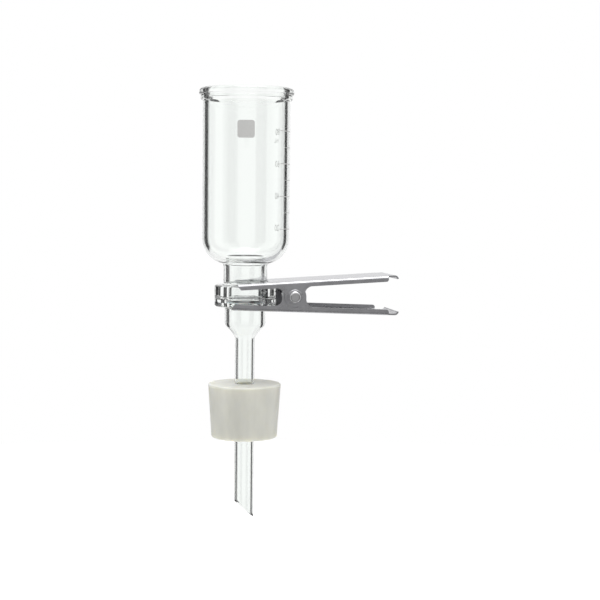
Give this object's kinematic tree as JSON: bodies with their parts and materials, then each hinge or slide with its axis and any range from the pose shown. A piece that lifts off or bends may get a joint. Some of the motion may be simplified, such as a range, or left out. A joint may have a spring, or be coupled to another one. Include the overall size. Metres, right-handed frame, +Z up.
{
  "type": "membrane filter holder",
  "caption": "Small glass membrane-filter holder: graduated funnel and support base held at ground flanges by a spring clamp, with a silicone stopper on the stem.",
  "frame": {"origin": "on the glass axis, at the stopper's lower face", "axes": "+Z up along the glass axis towards the funnel's mouth, +X along the clamp's handles"},
  "size_m": [0.0992, 0.0472, 0.215],
  "materials": {
    "clear_glass": "clear borosilicate glass, fire polished",
    "polished_steel": "polished spring steel",
    "screen_steel": "perforated stainless steel",
    "white_ptfe": "soft white fluoropolymer",
    "silicone": "translucent off-white silicone rubber"
  },
  "bodies": {
    "base": {"support_base": "clear_glass", "support_screen": "screen_steel", "ptfe_gasket": "white_ptfe"},
    "stopper": {"stopper": "silicone"},
    "funnel": {"funnel": "clear_glass"},
    "clamp_lower": {"clamp_lower_arm": "polished_steel", "pivot_rivet": "polished_steel", "pivot_washers": "polished_steel", "torsion_spring": "polished_steel"},
    "clamp_upper": {"clamp_upper_arm": "polished_steel"}
  },
  "joints": [
    {"name": "stopper_slide", "type": "slide", "parent": "base", "child": "stopper", "axis": [0, 0, 1], "range_m": [-0.022, 0.016]},
    {"name": "funnel_turn", "type": "hinge", "parent": "base", "child": "funnel", "pos_m": [0, 0, 0.07], "axis": [0, 0, 1], "continuous": true},
    {"name": "clamp_slide", "type": "slide", "parent": "funnel", "child": "clamp_lower", "axis": [1, 0, 0], "range_m": [0, 0.045]},
    {"name": "jaw_open", "type": "hinge", "parent": "clamp_lower", "child": "clamp_upper", "pos_m": [0.0226, 0, 0.0716], "axis": [0, 1, 0], "range_deg": [0, 14], "stiffness_Nm_per_rad": 0.5, "springref_deg": -14.32, "deforming": ["torsion_spring"]}
  ]
}
